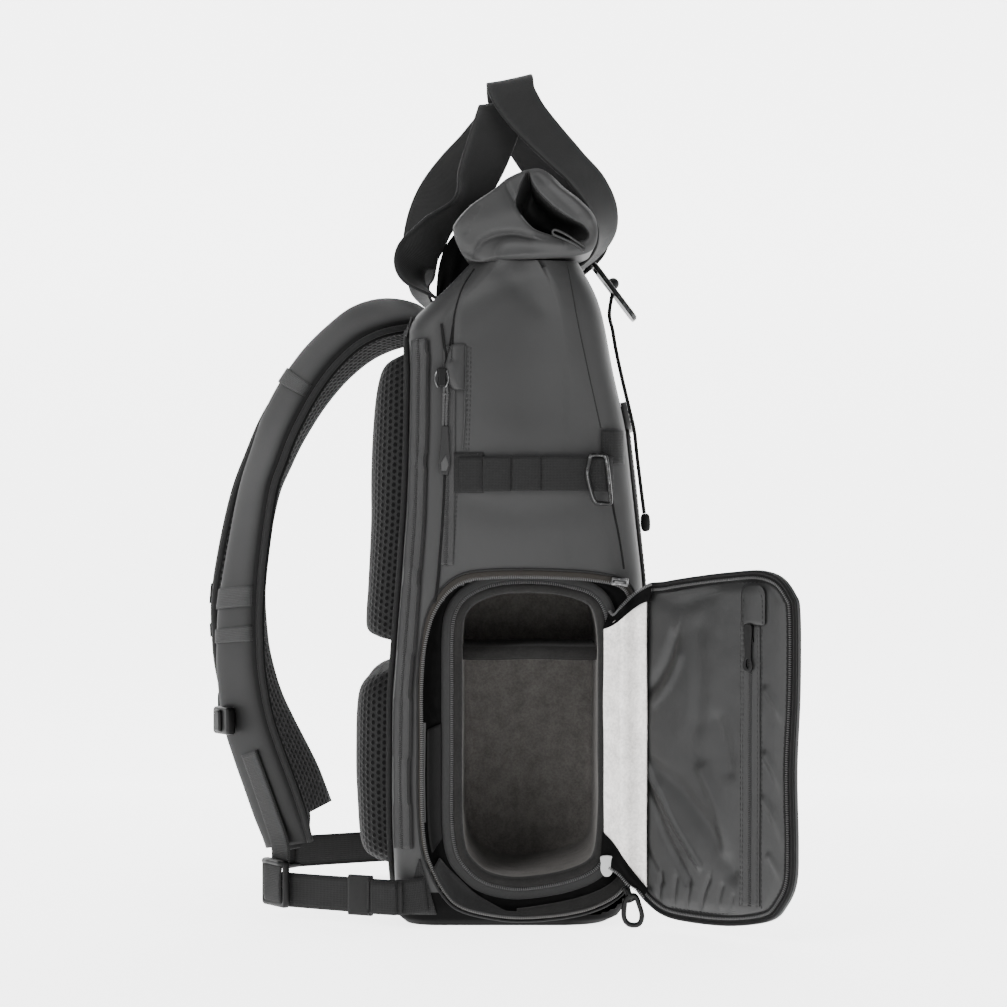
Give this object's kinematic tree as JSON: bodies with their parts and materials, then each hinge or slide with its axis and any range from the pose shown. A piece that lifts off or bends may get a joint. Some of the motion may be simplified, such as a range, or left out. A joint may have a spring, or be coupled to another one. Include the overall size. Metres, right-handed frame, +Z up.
{
  "type": "camera backpack",
  "caption": "Roll-top camera backpack standing on its base, with a padded harness, carrying handles, a looped side strap and its side flap swung open on a padded insert.",
  "frame": {"origin": "centre of the base, on the surface that the bag stands on", "axes": "+Z up, +X towards the front of the bag, away from the wearer's back, -Y towards the wearer's left, where the side flap is"},
  "size_m": [0.43, 0.3999, 0.6216],
  "materials": {
    "coated_fabric": "matt water-repellent coated fabric, dark grey",
    "base_fabric": "black hard-wearing base cloth",
    "webbing": "ribbed black-grey webbing",
    "handle_webbing": "fine twill handle webbing",
    "back_mesh": "honeycomb spacer mesh",
    "zip_tape": "woven zip tape with a nylon coil",
    "hard_plastic": "black moulded plastic",
    "dark_metal": "black coated metal",
    "pull_rubber": "grey-black rubber pull",
    "felt_lining": "dark brushed felt lining",
    "light_lining": "light grey brushed lining",
    "satin_nylon": "satin nylon pocket cloth"
  },
  "bodies": {
    "root": {"main_shell": "coated_fabric", "base_boot": "base_fabric", "roll_top": "coated_fabric", "front_pocket": "coated_fabric", "storm_flap": "coated_fabric", "back_panel": "back_mesh", "back_pad_upper": "back_mesh", "back_pad_lumbar": "back_mesh", "back_zip": "zip_tape", "back_handle": "handle_webbing", "front_handle": "handle_webbing", "shoulder_strap_left": "coated_fabric", "shoulder_strap_right": "coated_fabric", "side_flap": "coated_fabric", "flap_zip": "zip_tape", "flap_pocket": "satin_nylon", "flap_pocket_zip": "zip_tape", "flap_zip_garage": "satin_nylon", "flap_zip_slider": "hard_plastic", "opening_zip": "zip_tape", "opening_gusset": "base_fabric", "camera_insert": "felt_lining", "insert_divider": "felt_lining", "lining_panel": "light_lining", "opening_slider_top": "dark_metal", "opening_slider_bottom": "dark_metal", "insert_pull": "light_lining", "side_patch": "webbing", "side_strap": "webbing", "side_buckle": "dark_metal", "side_pocket_zip": "zip_tape", "side_pocket_garage": "coated_fabric", "side_pocket_slider": "dark_metal", "side_pocket_pull": "pull_rubber", "front_loop": "webbing", "hook_strap": "webbing", "hook_plate": "dark_metal", "cord_bead": "hard_plastic", "front_cord": "webbing", "cord_end": "hard_plastic", "webbing_keeper_left": "webbing", "strap_bundle_left": "webbing", "sternum_clip_left": "hard_plastic", "ladder_lock_left": "hard_plastic", "strap_tail_left": "webbing", "lower_webbing_left": "webbing", "anchor_tab_left": "webbing", "sternum_clip_right": "hard_plastic", "ladder_lock_right": "hard_plastic", "strap_tail_right": "webbing", "lower_webbing_right": "webbing", "anchor_tab_right": "webbing"}
  },
  "joints": []
}
